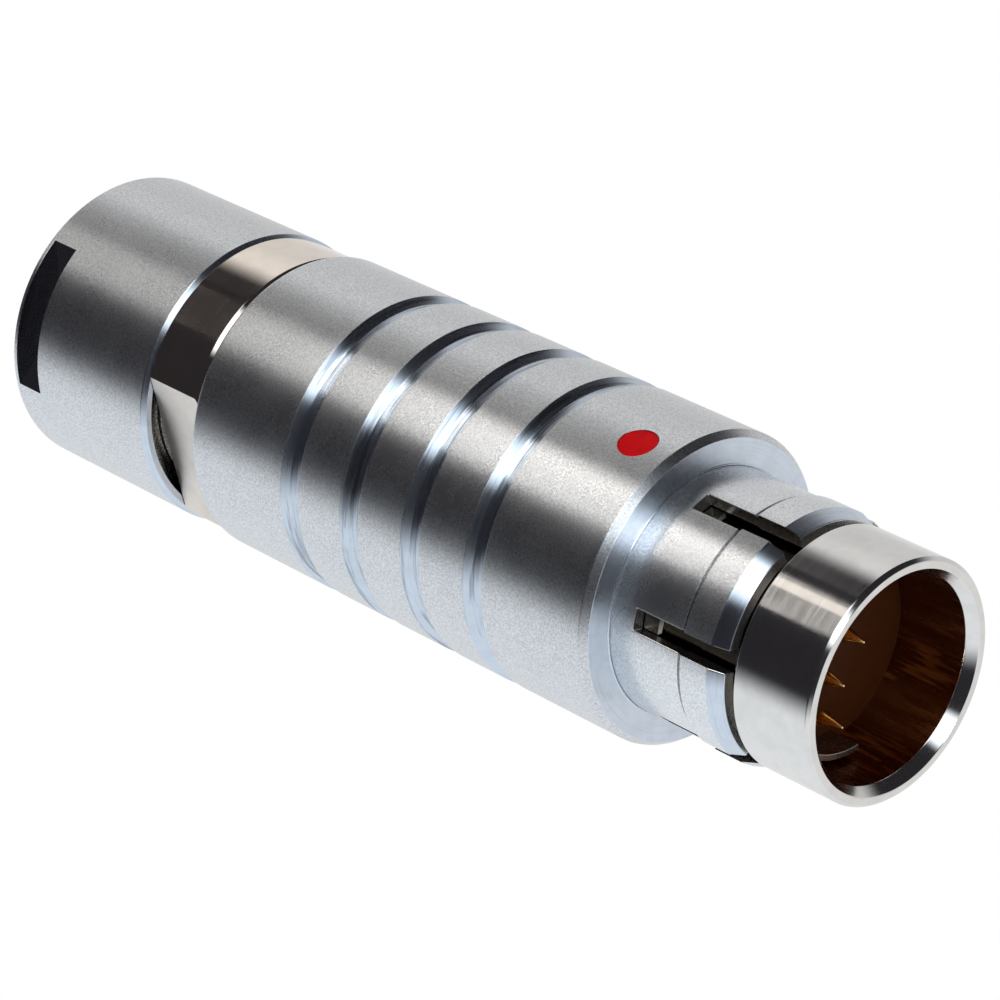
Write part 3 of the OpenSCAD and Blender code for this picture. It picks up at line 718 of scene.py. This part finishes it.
# ---------------------------------------------------------------- white world
world = bpy.data.worlds.new("white")
bpy.context.scene.world = world
world.use_nodes = True
background = world.node_tree.nodes["Background"]
background.inputs["Color"].default_value = WHITE
background.inputs["Strength"].default_value = 1

# ---------------------------------------------------------------- gels, a flag and a window
# They are on a sphere between the white world and the object, and the camera sees past them. Azimuth turns
# around Z from +X and elevation rises from the horizon, both in degrees.
MIDDLE = -100  # the azimuths run from 180 below this one to 180 above it
screen_mesh = bmesh.new()
bmesh.ops.create_uvsphere(screen_mesh, u_segments=64, v_segments=32, radius=12)
screen = made("screen", screen_mesh)
screen.visible_camera = False
gels, w = material("gels_and_flags")
screen.data.materials.append(gels)
direction = w.vec("NORMALIZE", w.new("NewGeometry").outputs["Position"])
cosine, sine = math.cos(math.radians(MIDDLE)), math.sin(math.radians(MIDDLE))
ahead = w.vec("DOT_PRODUCT", direction, (cosine, sine, 0))
aside = w.vec("DOT_PRODUCT", direction, (-sine, cosine, 0))
azimuth = w.math("ADD", w.math("MULTIPLY", w.math("ARCTAN2", aside, ahead), 180 / math.pi), MIDDLE)
elevation = w.math("MULTIPLY", w.math("ARCSINE", w.split(direction)[2]), 180 / math.pi)

# pale gels all round: cooler on the right, a little dimmer on the left
cool = w.math("MULTIPLY", w.ramp(azimuth, -110, -90), w.ramp(azimuth, 30, 78, 1.0, 0.0))
tint = w.mix(cool, colour(0.82, 0.83, 0.84), colour(0.86, 0.91, 0.96))
dim = w.window(azimuth, -245, 40, -190, 40)
tint = w.mix(w.math("MULTIPLY", dim, 0.35), tint, colour(0.4, 0.41, 0.42))
gel = w.new("BsdfTransparent")
w.feed(gel.inputs["Color"], tint)

# the flag, which reaches further left above the object, and the window in it
left_edge = w.ramp(elevation, -32, 2, -168, -212)
left_side = w.ramp(w.math("SUBTRACT", azimuth, left_edge), -10, 12)
dark = w.math("MULTIPLY", left_side, w.ramp(azimuth, -47, -18, 1.0, 0.0))
dark = w.math("MULTIPLY", dark, w.ramp(elevation, 62, 80, 1.0, 0.0))
light = w.math("MULTIPLY", w.window(azimuth, -131, 12, -95, 12), w.window(elevation, -12, 12, 62, 14))
flag = w.new("Emission")
w.feed(flag.inputs["Color"], w.mix(light, colour(0.023, 0.022, 0.026), colour(1.6, 1.75, 1.9)))
w.surface(w.mix_shaders(w.math("MAXIMUM", dark, light), gel.outputs[0], flag.outputs[0]))

# ---------------------------------------------------------------- lamps
DAY, WARM = (1.0, 0.98, 0.95), (1.0, 0.92, 0.84)
# name, azimuth, distance from the axis, height, width, length, height aimed at, brightness (1 is white), tint
LAMPS = [
    ("side_box", -116, 200, -14, 100, 84, 20, 2.0, DAY),
    ("front_box", -117, 200, -109, 120, 10, 20, 2.4, DAY),
    ("low_box", -118, 200, -122, 130, 16, 20, 2.0, DAY),
    ("middle_box", -118, 200, -141, 130, 18, 20, 1.2, DAY),
    ("rear_box", -121, 200, -232, 130, 38, 10, 1.0, DAY),
    ("left_box", -154, 200, -128, 70, 44, 20, 0.5, DAY),
    ("rear_left_box", -154, 200, -230, 70, 42, 10, 0.55, DAY),
    ("near_strip", -124.5, 116, -27, 18, 34, 58, 0.72, WARM),
    ("top_lamp", -125, 100, 330, 60, 60, 58, 10.0, DAY),
]
for name, turn, reach, height, width, length, aim, level, glow in LAMPS:
    lamp = bpy.data.objects.new(name, bpy.data.lights.new(name, "AREA"))
    bpy.context.scene.collection.objects.link(lamp)
    a = math.radians(turn)
    lamp.location = (reach * MM * math.cos(a), reach * MM * math.sin(a), height * MM)
    lamp.rotation_euler = (Vector((0, 0, aim * MM)) - lamp.location).to_track_quat("-Z", "Y").to_euler()
    lamp.data.shape, lamp.data.size, lamp.data.size_y = "RECTANGLE", width * MM, length * MM
    lamp.data.color = glow
    lamp.data.energy = level * math.pi * width * length * MM * MM
    lamp.visible_camera = False

bpy.context.scene.view_settings.view_transform = "Standard"
